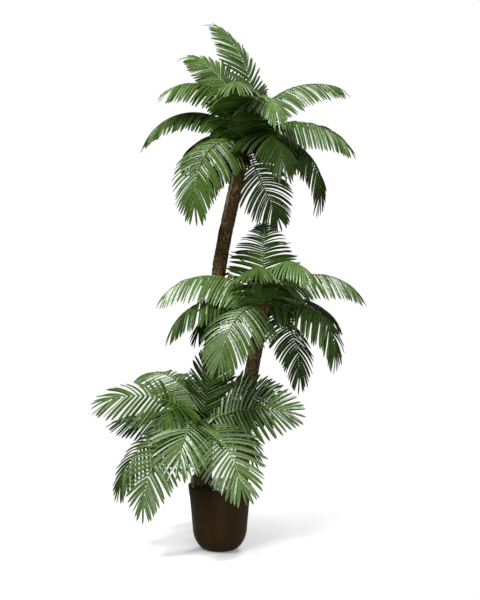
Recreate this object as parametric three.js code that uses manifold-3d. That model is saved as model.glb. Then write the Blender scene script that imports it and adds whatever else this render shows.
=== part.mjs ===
// Artificial palm: three trunks of different heights in one round plastic pot, each with a crown of fronds.
// Millimetres, +Z up. The origin is on the floor under the middle of the pot. The front is the -Y side.
import * as THREE from "three";
import { mergeVertices } from "three/addons/utils/BufferGeometryUtils.js";
import Module from "manifold-3d";

const wasm = await Module();
wasm.setup();

// Clearance between pieces that touch on the real tree.
const GAP = 0.3;

// Pot: tapered side, a collar under the rim, a well rounded lower edge and a flat underside.
const POT_HEIGHT = 259;
const RIM_RADIUS = 127;
const COLLAR_HEIGHT = 40;
const COLLAR_STEP = 1.2;
const SHOULDER_RADIUS = 110;
const SHOULDER_HEIGHT = 94;
const FOOT_RADIUS = 50;
const POT_WALL = 4;
const RIM_EDGE = 1.5;
const POT_SIDES = 32;
const EDGE_STEPS = 5;

// Filling: a low mound that stands a little over the rim in the middle.
const FILL_EDGE = 14;
const MOUND_RISE = 26;
const MOUND_STEPS = 3;

// Trunks, by the points that their axes pass through, from the foot inside the filling to the bud.
const TRUNK_SIDES = 12;
const TRUNK_STEPS = 12;
const BUD_STEPS = 4;
const TRUNKS = {
  tall: {
    axis: [
      [-66, 30, 170],
      [-57, 42, 440],
      [-36, 56, 800],
      [0, 68, 1150],
      [52, 78, 1410],
      [104, 84, 1656],
    ],
    footRadius: 30,
    topRadius: 28,
  },
  middle: {
    axis: [
      [80, 3, 170],
      [97, -8, 450],
      [124, -28, 690],
      [154, -42, 860],
      [178, -50, 990],
    ],
    footRadius: 29,
    topRadius: 27,
  },
  low: {
    axis: [
      [-68, -42, 170],
      [-74, -50, 290],
      [-70, -62, 420],
      [-66, -70, 540],
    ],
    footRadius: 28,
    topRadius: 26,
  },
};

// Fronds: the rib leaves the bud towards its heading (0 to the right, 90 away from the viewer) at an angle
// of rise, and bends down by its fall over its length. Roll turns the blade about the rib, its left side up.
// Leafy is how long its leaflets are for its crown.
const CROWNS = {
  tall: {
    pairs: 10,
    leafletLength: 160,
    leafletWidth: 17,
    fold: [8, 8],
    sag: 1.1,
    fronds: [
      { heading: 175, rise: 114, fall: 71, length: 515, roll: -38, leafy: 1 },
      { heading: 163, rise: 94, fall: 69, length: 450, roll: -60, leafy: 0.9 },
      { heading: 199, rise: 100, fall: 128, length: 455, roll: -35, leafy: 1 },
      { heading: 181, rise: 66, fall: 118, length: 462, roll: -22, leafy: 0.8 },
      { heading: 230, rise: 18, fall: 116, length: 465, roll: -30, leafy: 1.05 },
      { heading: 150, rise: -6, fall: 70, length: 230, roll: 0, leafy: 0.85 },
      { heading: 65, rise: -38, fall: 0, length: 430, roll: -35, leafy: 1 },
      { heading: 294, rise: 32, fall: 98, length: 428, roll: 0, leafy: 1 },
      { heading: 350, rise: 30, fall: 128, length: 465, roll: 18, leafy: 1.05 },
      { heading: 350, rise: 46, fall: 90, length: 450, roll: 35, leafy: 0.95 },
      { heading: 7, rise: 80, fall: 92, length: 500, roll: 30, leafy: 0.92 },
      { heading: 294, rise: 94, fall: 156, length: 440, roll: 0, leafy: 0.9 },
      { heading: 264, rise: 78, fall: 100, length: 455, roll: 0, leafy: 1.1 },
      { heading: 48, rise: 42, fall: 88, length: 430, roll: 0, leafy: 1 },
      { heading: 128, rise: 42, fall: 92, length: 430, roll: 0, leafy: 1 },
      { heading: 90, rise: 64, fall: 84, length: 420, roll: 0, leafy: 1 },
    ],
  },
  middle: {
    pairs: 11,
    leafletLength: 160,
    leafletWidth: 17,
    fold: [8, 8],
    sag: 1.1,
    fronds: [
      { heading: 88, rise: 80, fall: 46, length: 425, roll: 0, leafy: 1.15 },
      { heading: 185, rise: 64, fall: 105, length: 440, roll: -22, leafy: 1 },
      { heading: 192, rise: 38, fall: 95, length: 405, roll: -18, leafy: 0.9 },
      { heading: 241, rise: 17, fall: 86, length: 405, roll: -20, leafy: 1.1 },
      { heading: 264, rise: 80, fall: 98, length: 350, roll: 0, leafy: 1.05 },
      { heading: 299, rise: 90, fall: 128, length: 422, roll: 0, leafy: 0.95 },
      { heading: 3, rise: 67, fall: 109, length: 436, roll: 25, leafy: 0.9 },
      { heading: 345, rise: 33, fall: 124, length: 405, roll: 22, leafy: 1 },
      { heading: 50, rise: -4, fall: 88, length: 400, roll: 0, leafy: 0.95 },
      { heading: 40, rise: 30, fall: 74, length: 420, roll: 0, leafy: 0.95 },
      { heading: 136, rise: 30, fall: 88, length: 420, roll: 0, leafy: 0.95 },
      { heading: 94, rise: 44, fall: 84, length: 410, roll: 0, leafy: 1 },
    ],
  },
  low: {
    pairs: 9,
    leafletLength: 168,
    leafletWidth: 20,
    fold: [4, 4],
    sag: 0.36,
    fronds: [
      { heading: 340, rise: 82, fall: 6, length: 290, roll: 88, leafy: 0.8 },
      { heading: 136, rise: 68, fall: 81, length: 415, roll: -20, leafy: 0.85 },
      { heading: 180, rise: 46, fall: 62, length: 395, roll: -40, leafy: 1.05 },
      { heading: 156, rise: 10, fall: 22, length: 370, roll: -30, leafy: 0.85 },
      { heading: 186, rise: 4, fall: 77, length: 420, roll: -25, leafy: 1 },
      { heading: 219, rise: -3, fall: 82, length: 425, roll: -30, leafy: 0.92 },
      { heading: 259, rise: 26, fall: 74, length: 390, roll: -15, leafy: 1.1 },
      { heading: 295, rise: 1, fall: 52, length: 408, roll: 20, leafy: 1.05 },
      { heading: 330, rise: 28, fall: 33, length: 375, roll: 80, leafy: 0.95 },
      { heading: 108, rise: 56, fall: 70, length: 410, roll: 0, leafy: 0.95 },
      { heading: 50, rise: 42, fall: 84, length: 410, roll: 0, leafy: 0.95 },
      { heading: 345, rise: 42, fall: 30, length: 285, roll: 75, leafy: 0.85 },
      { heading: 120, rise: 12, fall: 66, length: 400, roll: 0, leafy: 0.95 },
      { heading: 56, rise: 8, fall: 66, length: 390, roll: 0, leafy: 0.95 },
      { heading: 232, rise: 62, fall: 116, length: 300, roll: 0, leafy: 0.85 },
    ],
  },
};

// Rib of every frond: half its width at the root and the tip, and how its root is seated in the bud.
const RIB_ROOT = 4.2;
const RIB_TIP = 1.6;
const RIB_DEPTH = 0.8;
const RIB_STEPS = 16;
const BARE_STALK = 0.1;
const TIP_SPIKE = 40;
const ROOT_SPACING = 13;
const ROOT_SPREAD = 0.82;
const ROOT_LOWEST = -6;
const ROOT_STEEPEST = 88;
const ROOT_DEPTH = 0.7;
const ROOT_LED = 0.4;
const ROOT_ROUNDS = 60;

// Leaflets. They fold down from the rib, most where the blade is level, sweep along it, curl towards its lower
// face and sag. They stand wide at the root of the frond and close towards its tip, and where the rib stands
// upright. The longest are near the root.
const LEAFLET_THICKNESS = 2;
const LEAFLET_WIDEST = 0.45;
const LEAFLET_BASE = 0.72;
const SHORTEST = 0.7;
const GROWN_FROM = 0.27;
const NARROWEST = 0.7;
const ANGLE_AT_ROOT = 94;
const ANGLE_AT_TIP = 30;
const CLOSING = 1.6;
const UPRIGHT_CLOSED = 40;
const SWEEP = 0.2;
const CURL = 0.28;
const EDGEWISE_SAG = 0.8;
const SHORTER = [1, 0.8, 0.62, 0.46];
const TILTS = [0, 10, -10];

const POT_BROWN = 0x2c2217;
const FILLING_GREY = 0xb4b4aa;
const BARK_BROWN = 0x4a3a28;
const LEAF_GREEN = 0x4a6e32;

const rad = THREE.MathUtils.degToRad;
const vec = (x, y, z) => new THREE.Vector3(x, y, z);

function solidOf(geometry) {
  const bare = new THREE.BufferGeometry();
  bare.setAttribute("position", geometry.getAttribute("position"));
  bare.setIndex(geometry.getIndex());
  const merged = mergeVertices(bare, 1e-4);
  return new wasm.Manifold(
    new wasm.Mesh({
      numProp: 3,
      vertProperties: new Float32Array(merged.attributes.position.array),
      triVerts: new Uint32Array(merged.index.array),
    }),
  );
}

function geometryOf(solid) {
  const mesh = solid.getMesh();
  const geometry = new THREE.BufferGeometry();
  geometry.setAttribute("position", new THREE.BufferAttribute(mesh.vertProperties, 3));
  geometry.setIndex(new THREE.BufferAttribute(mesh.triVerts, 1));
  geometry.computeVertexNormals();
  return geometry;
}

// Points and faces of one closed surface, with the corners of each face in order round its outside.
class Surface {
  constructor() {
    this.points = [];
    this.faces = [];
  }
  point(p) {
    this.points.push(p.x, p.y, p.z);
    return this.points.length / 3 - 1;
  }
  triangle(a, b, c) {
    this.faces.push(a, b, c);
  }
  quad(a, b, c, d) {
    this.faces.push(a, b, c, a, c, d);
  }
  geometry() {
    const geometry = new THREE.BufferGeometry();
    geometry.setAttribute("position", new THREE.Float32BufferAttribute(this.points, 3));
    geometry.setIndex(this.faces);
    return geometry;
  }
}

// Pot

function potOutline(inset) {
  const outline = [];
  const foot = FOOT_RADIUS - inset / 2;
  for (let i = 0; i <= EDGE_STEPS; i++) {
    const turn = (Math.PI / 2) * (i / EDGE_STEPS);
    const across = SHOULDER_RADIUS - inset - foot;
    const high = SHOULDER_HEIGHT - inset;
    outline.push(new THREE.Vector2(foot + across * Math.sin(turn), inset + high * (1 - Math.cos(turn))));
  }
  return outline;
}

function makePot() {
  const collarFoot = POT_HEIGHT - COLLAR_HEIGHT;
  const taper = (RIM_RADIUS - SHOULDER_RADIUS) / (POT_HEIGHT - SHOULDER_HEIGHT);
  const collarRadius = RIM_RADIUS - taper * COLLAR_HEIGHT;
  const outline = [
    new THREE.Vector2(0, 0),
    ...potOutline(0),
    new THREE.Vector2(collarRadius - COLLAR_STEP, collarFoot - COLLAR_STEP),
    new THREE.Vector2(collarRadius, collarFoot),
    new THREE.Vector2(RIM_RADIUS, POT_HEIGHT - RIM_EDGE),
    new THREE.Vector2(RIM_RADIUS - RIM_EDGE, POT_HEIGHT),
    new THREE.Vector2(RIM_RADIUS - POT_WALL, POT_HEIGHT),
    ...potOutline(POT_WALL).reverse(),
    new THREE.Vector2(0, POT_WALL),
  ];
  return solidOf(new THREE.LatheGeometry(outline, POT_SIDES).rotateX(Math.PI / 2));
}

function makeFilling(trunkHoles) {
  const side = POT_WALL + GAP;
  const edgeHeight = POT_HEIGHT - FILL_EDGE;
  const taper = (RIM_RADIUS - SHOULDER_RADIUS) / (POT_HEIGHT - SHOULDER_HEIGHT);
  const edgeRadius = RIM_RADIUS - side - taper * FILL_EDGE;
  const outline = [new THREE.Vector2(0, side), ...potOutline(side)];
  for (let i = MOUND_STEPS; i >= 0; i--) {
    const share = i / MOUND_STEPS;
    outline.push(new THREE.Vector2(edgeRadius * share, edgeHeight + MOUND_RISE * (1 - share * share)));
  }
  let filling = solidOf(new THREE.LatheGeometry(outline, POT_SIDES).rotateX(Math.PI / 2));
  for (const hole of trunkHoles) filling = filling.subtract(hole);
  return filling;
}

// Trunks

function trunkCurve(trunk) {
  return new THREE.CatmullRomCurve3(trunk.axis.map((p) => vec(...p)), false, "centripetal");
}

// A closed round limb: tapered along its axis and rounded off into a bud at the top.
function makeTrunk(trunk, clearance) {
  const curve = trunkCurve(trunk);
  const length = curve.getLength();
  const bud = trunk.topRadius + clearance;
  const stations = [];
  for (let i = 0; i <= TRUNK_STEPS; i++) {
    const u = (i / TRUNK_STEPS) * (1 - trunk.topRadius / length);
    const radius = THREE.MathUtils.lerp(trunk.footRadius, trunk.topRadius, i / TRUNK_STEPS) + clearance;
    stations.push({ u, radius, lift: i === 0 ? -clearance : 0 });
  }
  const shoulder = 1 - trunk.topRadius / length;
  for (let i = 1; i < BUD_STEPS; i++) {
    const turn = (Math.PI / 2) * (i / BUD_STEPS);
    stations.push({ u: shoulder, radius: bud * Math.cos(turn), lift: bud * Math.sin(turn) });
  }
  const surface = new Surface();
  const rings = stations.map(({ u, radius, lift }) => {
    const along = curve.getTangentAt(u);
    const centre = curve.getPointAt(u).addScaledVector(along, lift);
    const across = vec(1, 0, 0).addScaledVector(along, -along.x).normalize();
    const back = along.clone().cross(across);
    const ring = [];
    for (let i = 0; i < TRUNK_SIDES; i++) {
      const turn = (2 * Math.PI * i) / TRUNK_SIDES;
      const corner = centre.clone().addScaledVector(across, radius * Math.cos(turn));
      ring.push(surface.point(corner.addScaledVector(back, radius * Math.sin(turn))));
    }
    return ring;
  });
  const foot = surface.point(curve.getPointAt(0).addScaledVector(curve.getTangentAt(0), -clearance));
  const top = surface.point(curve.getPointAt(shoulder).addScaledVector(curve.getTangentAt(shoulder), bud));
  for (let i = 0; i < TRUNK_SIDES; i++) {
    const next = (i + 1) % TRUNK_SIDES;
    surface.triangle(foot, rings[0][next], rings[0][i]);
    for (let r = 1; r < rings.length; r++) {
      surface.quad(rings[r - 1][i], rings[r - 1][next], rings[r][next], rings[r][i]);
    }
    surface.triangle(top, rings.at(-1)[i], rings.at(-1)[next]);
  }
  return solidOf(surface.geometry());
}

// Fronds

// Starting directions of a crown's ribs, pushed apart over the bud until each root has room.
function rootDirections(fronds, budRadius) {
  const start = fronds.map(({ heading, rise }) => {
    const up = rad(THREE.MathUtils.clamp(rise * ROOT_SPREAD, ROOT_LOWEST, ROOT_STEEPEST));
    const turn = rad(heading);
    return vec(Math.cos(up) * Math.cos(turn), Math.cos(up) * Math.sin(turn), Math.sin(up));
  });
  const room = ROOT_SPACING / budRadius;
  for (let round = 0; round < ROOT_ROUNDS; round++) {
    for (let i = 0; i < start.length; i++) {
      for (let j = 0; j < i; j++) {
        const angle = start[i].angleTo(start[j]);
        if (angle >= room) continue;
        const apart = start[i].clone().sub(start[j]).multiplyScalar((room - angle) / (2 * angle));
        start[i].add(apart).normalize();
        start[j].sub(apart).normalize();
      }
    }
  }
  return start;
}

// The rib's axis: a bent arc from the middle of the bud, whose first part is led out through its own root.
function ribCurve(frond, centre, direction, budRadius) {
  const turn = rad(frond.heading);
  const points = [];
  const at = centre.clone();
  for (let i = 0; i <= RIB_STEPS; i++) {
    points.push(at.clone());
    const slope = rad(frond.rise - frond.fall * ((i + 0.5) / RIB_STEPS));
    const ahead = vec(Math.cos(slope) * Math.cos(turn), Math.cos(slope) * Math.sin(turn), Math.sin(slope));
    at.addScaledVector(ahead, frond.length / RIB_STEPS);
  }
  const arc = new THREE.CatmullRomCurve3(points);
  const led = [];
  for (let i = 0; i <= RIB_STEPS; i++) {
    const u = THREE.MathUtils.lerp((ROOT_DEPTH * budRadius) / frond.length, 1, i / RIB_STEPS);
    const ease = Math.max(0, 1 - u / ROOT_LED);
    const onRoot = centre.clone().addScaledVector(direction, u * frond.length);
    led.push(arc.getPointAt(u).lerp(onRoot, ease * ease));
  }
  return new THREE.CatmullRomCurve3(led);
}

// Place and axes of the rib at a share u of its length: along it, to its left, and out of its upper face.
function ribFrame(frond, curve, u) {
  const along = curve.getTangentAt(u);
  const turn = rad(frond.heading);
  const level = vec(-Math.sin(turn), Math.cos(turn), 0);
  const left = level.addScaledVector(along, -level.dot(along)).normalize();
  const upper = along.clone().cross(left);
  left.applyAxisAngle(along, rad(frond.roll));
  upper.applyAxisAngle(along, rad(frond.roll));
  return { at: curve.getPointAt(u), along, left, upper };
}

// Middle section and tip of one leaflet. Side is 1 on the left of the rib and -1 on its right.
function leafletShape({ crown, frond }, frame, side, share, reach, tilt) {
  const wide = THREE.MathUtils.lerp(ANGLE_AT_ROOT, ANGLE_AT_TIP, share ** CLOSING);
  const angle = rad(wide - UPRIGHT_CLOSED * Math.max(0, frame.along.z) * (1 - share));
  const weight = Math.max(0, frame.upper.z) ** 2;
  const lift = rad(tilt - crown.fold[0] - crown.fold[1] * weight);
  const grown = SHORTEST + (1 - SHORTEST) * Math.sin(Math.PI * THREE.MathUtils.lerp(GROWN_FROM, 1, share));
  const length = crown.leafletLength * frond.leafy * grown * reach;
  const out = frame.left.clone().multiplyScalar(side * Math.cos(lift));
  out.addScaledVector(frame.upper, Math.sin(lift));
  const start = frame.along.clone().multiplyScalar(Math.cos(angle)).addScaledVector(out, Math.sin(angle));
  const droop = crown.sag * THREE.MathUtils.lerp(EDGEWISE_SAG, 1, Math.abs(frame.upper.z));
  const end = start.clone().addScaledVector(frame.along, SWEEP).addScaledVector(frame.upper, -CURL);
  end.z -= droop;
  const bend = end.normalize().sub(start);
  const along = (t) => {
    const straight = frame.at.clone().addScaledVector(start, length * t);
    return straight.addScaledVector(bend, (length * t * t) / 2);
  };
  const ahead = start.clone().addScaledVector(bend, LEAFLET_WIDEST).normalize();
  const across = frame.along.clone().multiplyScalar(Math.sin(angle)).addScaledVector(out, -Math.cos(angle));
  across.addScaledVector(ahead, -across.dot(ahead)).normalize();
  const normal = ahead.clone().cross(across).multiplyScalar(-side);
  const width = crown.leafletWidth * THREE.MathUtils.lerp(NARROWEST, 1, grown);
  return { middle: along(LEAFLET_WIDEST), tip: along(1), across, normal, width };
}

// The four corners of a leaflet's middle section, the back edge first, each edge with its upper corner first.
function leafletCorners({ middle, across, normal, width }, thickness, margin) {
  const wide = width / 2 + margin;
  const thick = thickness / 2 + margin;
  const corner = (a, n) => {
    return middle.clone().addScaledVector(across, a * wide).addScaledVector(normal, n * thick);
  };
  return [corner(-1, 1), corner(-1, -1), corner(1, -1), corner(1, 1)];
}

// Stations of a frond: each leaflet pair takes a short length of rib, with a bare length after it.
function ribStations(crown, frond) {
  const stations = [{ u: 0 }];
  const pairLength = (1 - BARE_STALK) / crown.pairs;
  const base = (LEAFLET_BASE * crown.leafletWidth) / frond.length;
  for (let i = 0; i < crown.pairs; i++) {
    const u = BARE_STALK + i * pairLength;
    stations.push({ u, pair: i }, { u: u + base });
  }
  return stations;
}

function ribCorners(frame, u) {
  const size = THREE.MathUtils.lerp(RIB_ROOT, RIB_TIP, u);
  const low = frame.at.clone().addScaledVector(frame.upper, -RIB_DEPTH * size);
  return [
    frame.at.clone().addScaledVector(frame.upper, size),
    low.clone().addScaledVector(frame.left, size),
    low.clone().addScaledVector(frame.left, -size),
  ];
}

// One closed surface: a three-sided rib that runs out to a point, and a leaflet out of each chosen side face.
function makeFrond(crown, frond, curve, leaflets) {
  const surface = new Surface();
  const stations = ribStations(crown, frond);
  const rings = stations.map(({ u }) => {
    const frame = ribFrame(frond, curve, u);
    return ribCorners(frame, u).map((p) => surface.point(p));
  });
  surface.triangle(...rings[0]);
  for (let i = 0; i + 1 < stations.length; i++) {
    const [top, left, right] = rings[i];
    const [nextTop, nextLeft, nextRight] = rings[i + 1];
    const sides = {
      1: [left, top, nextTop, nextLeft],
      [-1]: [top, right, nextRight, nextTop],
    };
    surface.quad(right, left, nextLeft, nextRight);
    for (const side of [1, -1]) {
      const shape = leaflets?.get(side * (stations[i].pair + 1));
      if (!shape) {
        surface.quad(...sides[side]);
        continue;
      }
      const [backTop, backLow, frontLow, frontTop] = leafletCorners(shape, LEAFLET_THICKNESS, 0);
      const leftLoop = [backLow, backTop, frontTop, frontLow];
      const rightLoop = [backTop, backLow, frontLow, frontTop];
      const loop = side === 1 ? leftLoop : rightLoop;
      const middle = loop.map((p) => surface.point(p));
      const tip = surface.point(shape.tip);
      for (let k = 0; k < 4; k++) {
        const next = (k + 1) % 4;
        surface.quad(sides[side][k], sides[side][next], middle[next], middle[k]);
        surface.triangle(middle[k], middle[next], tip);
      }
    }
  }
  const frame = ribFrame(frond, curve, 1);
  const spike = surface.point(frame.at.clone().addScaledVector(frame.along, TIP_SPIKE));
  const [top, left, right] = rings.at(-1);
  surface.triangle(top, spike, left);
  surface.triangle(left, spike, right);
  surface.triangle(right, spike, top);
  return solidOf(surface.geometry());
}

// A leaflet a little larger than life, from the rib to past its tip, for finding what it would touch.
function leafletRoom(shape, ribEnds) {
  const corners = leafletCorners(shape, LEAFLET_THICKNESS, GAP);
  const tip = shape.tip.clone().addScaledVector(shape.tip.clone().sub(shape.middle).normalize(), 2 * GAP);
  return wasm.Manifold.hull([...ribEnds, ...corners, tip].map((p) => p.toArray()));
}

const touches = (a, b) => a.intersect(b).volume() > 1e-6;

// Assembly

const palm = new THREE.Group();
palm.name = "three_trunk_palm";

function addMesh(name, solid, color, roughness) {
  const material = new THREE.MeshStandardMaterial({ color, roughness, metalness: 0 });
  const mesh = new THREE.Mesh(geometryOf(solid), material);
  mesh.name = name;
  palm.add(mesh);
}

const pot = makePot();
const trunkRoom = Object.values(TRUNKS).map((trunk) => makeTrunk(trunk, GAP));
const filling = makeFilling(trunkRoom);
addMesh("pot", pot, POT_BROWN, 0.45);
addMesh("pot_filling", filling, FILLING_GREY, 0.95);
for (const [name, trunk] of Object.entries(TRUNKS)) {
  addMesh(`trunk_${name}`, makeTrunk(trunk, 0), BARK_BROWN, 0.9);
}

// Every rib comes before the first leaflet, so that each leaflet can keep clear of all of them.
const plans = [];
for (const [name, crown] of Object.entries(CROWNS)) {
  const trunk = TRUNKS[name];
  const curve = trunkCurve(trunk);
  const centre = curve.getPointAt(1 - trunk.topRadius / curve.getLength());
  const directions = rootDirections(crown.fronds, trunk.topRadius);
  const ownTrunk = trunkRoom[Object.keys(TRUNKS).indexOf(name)];
  crown.fronds.forEach((frond, i) => {
    const rib = ribCurve(frond, centre, directions[i], trunk.topRadius);
    const bare = makeFrond(crown, frond, rib, null).subtract(ownTrunk);
    const label = String(i + 1).padStart(2, "0");
    plans.push({ name: `frond_${name}_${label}`, crown, frond, rib, bare, ownTrunk });
  });
}

const fixed = [...trunkRoom, pot, filling];
const grown = [];
for (const plan of plans) {
  const others = plans.filter((other) => other !== plan).map((other) => other.bare);
  const stations = ribStations(plan.crown, plan.frond);
  const frames = stations.map(({ u }) => ribFrame(plan.frond, plan.rib, u));
  const leaflets = new Map();
  stations.forEach(({ u, pair }, i) => {
    if (pair === undefined) return;
    const share = pair / (plan.crown.pairs - 1);
    const ribEnds = [...ribCorners(frames[i], u), ...ribCorners(frames[i + 1], stations[i + 1].u)];
    for (const side of [1, -1]) {
      const tries = SHORTER.flatMap((reach) => TILTS.map((tilt) => [reach, tilt]));
      const shapes = tries.map(([reach, tilt]) => {
        return leafletShape(plan, frames[i], side, share, reach, tilt);
      });
      const clear = shapes.find((shape) => {
        const room = leafletRoom(shape, ribEnds);
        return ![...fixed, ...others, ...grown].some((solid) => touches(room, solid));
      });
      if (clear) leaflets.set(side * (pair + 1), clear);
    }
  });
  const frond = makeFrond(plan.crown, plan.frond, plan.rib, leaflets).subtract(plan.ownTrunk);
  grown.push(frond);
  addMesh(plan.name, frond, LEAF_GREEN, 0.5);
}

export default palm;
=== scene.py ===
import itertools
import math
from collections import namedtuple

import bpy
import numpy as np
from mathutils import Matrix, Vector, noise


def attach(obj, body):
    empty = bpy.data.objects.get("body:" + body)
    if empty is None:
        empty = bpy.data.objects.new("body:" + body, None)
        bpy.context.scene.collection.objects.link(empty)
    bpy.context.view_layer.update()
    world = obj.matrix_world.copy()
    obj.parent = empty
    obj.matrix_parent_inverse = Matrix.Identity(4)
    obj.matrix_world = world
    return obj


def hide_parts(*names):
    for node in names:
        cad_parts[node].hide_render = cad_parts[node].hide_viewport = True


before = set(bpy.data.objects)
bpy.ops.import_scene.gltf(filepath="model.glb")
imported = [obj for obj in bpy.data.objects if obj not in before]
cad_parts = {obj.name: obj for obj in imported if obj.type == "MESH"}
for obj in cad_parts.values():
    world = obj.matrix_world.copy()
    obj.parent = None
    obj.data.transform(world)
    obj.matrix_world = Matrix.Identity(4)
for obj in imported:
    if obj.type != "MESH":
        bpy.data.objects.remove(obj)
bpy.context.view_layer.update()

# Stage: a round white floor that fades out into a white background. A broad key lamp hangs high in front
# on the left, with weaker lamps to the right, in front, above and behind, and a soft glow from behind.
# The camera stands level with the middle of the tree.
CAMERA_PLACE = (0.081, -4.0, 1.078)
CAMERA_TILT = 88.883
CAMERA_LENS = 59.9
FLOOR_RADIUS = 1.1
FLOOR_SIDES = 96
FLOOR_FADES_FROM = 0.14
FLOOR_COVER = 0.85
FLOOR_DROP = 0.0004
FLOOR_WHITE = (0.76, 0.76, 0.76, 1)
FLOOR_ROUGHNESS = 0.9
FLOOR_SHINE = 0.1
BACKGROUND_WHITE = (1, 1, 1, 1)
GROUND_LIGHT = 0.02
SKY_LIGHT = 0.05
SKY_FADE = (-0.25, 0.7)
BACK_LIGHT = 0.65
LAMP_AIM = (0.04, 0, 1.1)
# Each lamp's power, place and size, and whether it shows in glossy things.
LAMPS = {
    "key": (715, (-1.5, -2.5, 4.2), 1.6, True),
    "side": (90, (1.7, -3.6, 0.9), 1.6, True),
    "front": (42, (-0.3, -4.3, 0.7), 1.2, True),
    "top": (40, (0.3, -0.4, 4.2), 2.5, True),
    "back": (240, (1.4, 3.6, 2.6), 2.2, False),
}


def add_node(tree, kind, **inputs):
    """A new shader node with plain values for its named inputs. An underscore stands for a space."""
    made = tree.nodes.new(kind)
    for name, value in inputs.items():
        made.inputs[name.replace("_", " ")].default_value = value
    return made


def spread_over(tree, value, given, wanted=(0, 1), soft=False):
    """The output that spreads a value's given range over the wanted one, straight or with soft ends."""
    (low, high), (first, last) = given, wanted
    node = add_node(tree, "ShaderNodeMapRange", From_Min=low, From_Max=high, To_Min=first, To_Max=last)
    if soft:
        node.interpolation_type = "SMOOTHSTEP"
    tree.links.new(value, node.inputs["Value"])
    return node.outputs["Result"]


def new_material(name):
    """A material, with its node tree and its shader."""
    material = bpy.data.materials.new(name)
    material.use_nodes = True
    return material, material.node_tree, material.node_tree.nodes["Principled BSDF"]


def light_the_world():
    """Weak light from all round and more from behind. The camera sees plain white instead."""
    world = bpy.data.worlds.new("studio")
    bpy.context.scene.world = world
    world.use_nodes = True
    tree = world.node_tree
    tree.nodes.clear()
    place = tree.nodes.new("ShaderNodeTexCoord")
    way = tree.nodes.new("ShaderNodeSeparateXYZ")
    tree.links.new(place.outputs["Generated"], way.inputs[0])
    both = tree.nodes.new("ShaderNodeMath")
    around = spread_over(tree, way.outputs["Z"], SKY_FADE, (GROUND_LIGHT, SKY_LIGHT))
    behind = spread_over(tree, way.outputs["Y"], (0, 1), (0, BACK_LIGHT))
    tree.links.new(around, both.inputs[0])
    tree.links.new(behind, both.inputs[1])
    light = tree.nodes.new("ShaderNodeBackground")
    tree.links.new(both.outputs[0], light.inputs["Strength"])
    backdrop = add_node(tree, "ShaderNodeBackground", Color=BACKGROUND_WHITE)
    seen = tree.nodes.new("ShaderNodeLightPath")
    either = tree.nodes.new("ShaderNodeMixShader")
    tree.links.new(seen.outputs["Is Camera Ray"], either.inputs[0])
    tree.links.new(light.outputs[0], either.inputs[1])
    tree.links.new(backdrop.outputs[0], either.inputs[2])
    out = tree.nodes.new("ShaderNodeOutputWorld")
    tree.links.new(either.outputs[0], out.inputs["Surface"])


def lay_floor():
    bpy.ops.mesh.primitive_circle_add(vertices=FLOOR_SIDES, radius=FLOOR_RADIUS, fill_type="NGON")
    floor = bpy.context.object
    floor.name = "studio_floor"
    floor.location = (0, 0, -FLOOR_DROP)
    material, tree, shader = new_material("studio floor")
    shader.inputs["Base Color"].default_value = FLOOR_WHITE
    shader.inputs["Roughness"].default_value = FLOOR_ROUGHNESS
    shader.inputs["Specular IOR Level"].default_value = FLOOR_SHINE
    place = tree.nodes.new("ShaderNodeTexCoord")
    distance = tree.nodes.new("ShaderNodeVectorMath")
    distance.operation = "LENGTH"
    tree.links.new(place.outputs["Object"], distance.inputs[0])
    fades = (FLOOR_FADES_FROM, FLOOR_RADIUS)
    cover = spread_over(tree, distance.outputs["Value"], fades, (FLOOR_COVER, 0), soft=True)
    tree.links.new(cover, shader.inputs["Alpha"])
    floor.data.materials.append(material)


def hang_lamp(name, power, place, size, reflects):
    lamp = bpy.data.lights.new(name, "AREA")
    lamp.energy = power
    lamp.size = size
    hung = bpy.data.objects.new(name, lamp)
    bpy.context.scene.collection.objects.link(hung)
    hung.location = place
    hung.rotation_euler = (Vector(LAMP_AIM) - Vector(place)).to_track_quat("-Z", "Y").to_euler()
    hung.visible_glossy = reflects


def set_camera():
    camera = bpy.data.objects.new("camera", bpy.data.cameras.new("camera"))
    bpy.context.scene.collection.objects.link(camera)
    camera.location = CAMERA_PLACE
    camera.rotation_euler = (math.radians(CAMERA_TILT), 0, 0)
    camera.data.lens = CAMERA_LENS
    bpy.context.scene.camera = camera
    bpy.context.scene.view_settings.view_transform = "Standard"


light_the_world()
lay_floor()
for lamp_name, lamp_values in LAMPS.items():
    hang_lamp(lamp_name, *lamp_values)
set_camera()

# Pot: one thin shell of dark brown plastic with a soft shine, moulded with a shallow collar under the rim,
# a well rounded lower edge and a low ring round its flat underside, on which the whole tree stands.
MM = 0.001
POT_HEIGHT = 259
RIM_RADIUS = 127
COLLAR_HEIGHT = 40
COLLAR_STEP = 1.2
SHOULDER_RADIUS = 110
SHOULDER_HEIGHT = 94
FOOT_RADIUS = 50
FOOT_RING_HEIGHT = 5
FOOT_RING_DEPTH = 0.9
FOOT_LOOPS = (6, 3)
POT_WALL = 4
POT_SIDES = 128
EDGE_STEPS = 20
LIP_STEPS = 9
POT_TAPER = (RIM_RADIUS - SHOULDER_RADIUS) / (POT_HEIGHT - SHOULDER_HEIGHT)
# Lighter brown in soft upright streaks: partly streaks in the moulded plastic, partly a painted reflection
# of the lamps on its shine.
POT_BROWN = (0.0142, 0.0081, 0.0027, 1)
POT_STREAK_AND_SHEEN = (0.0212, 0.0121, 0.0042, 1)
STREAK_STRETCH = (1, 1, 0.05)
STREAK_RANGE = (0.36, 0.66)
WAVE_RANGE = (0.3, 0.7)
POT_ROUGHNESS = (0.36, 0.5)
POT_SHINE = 0.03


def pot_edge(inset):
    """The pot's rounded lower edge, as radius and height of points from the foot to the shoulder."""
    turn = np.linspace(0, math.pi / 2, EDGE_STEPS)
    foot = FOOT_RADIUS - inset / 2
    radius = foot + (SHOULDER_RADIUS - inset - foot) * np.sin(turn)
    height = inset + (SHOULDER_HEIGHT - inset) * (1 - np.cos(turn))
    return list(zip(radius, height))


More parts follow.
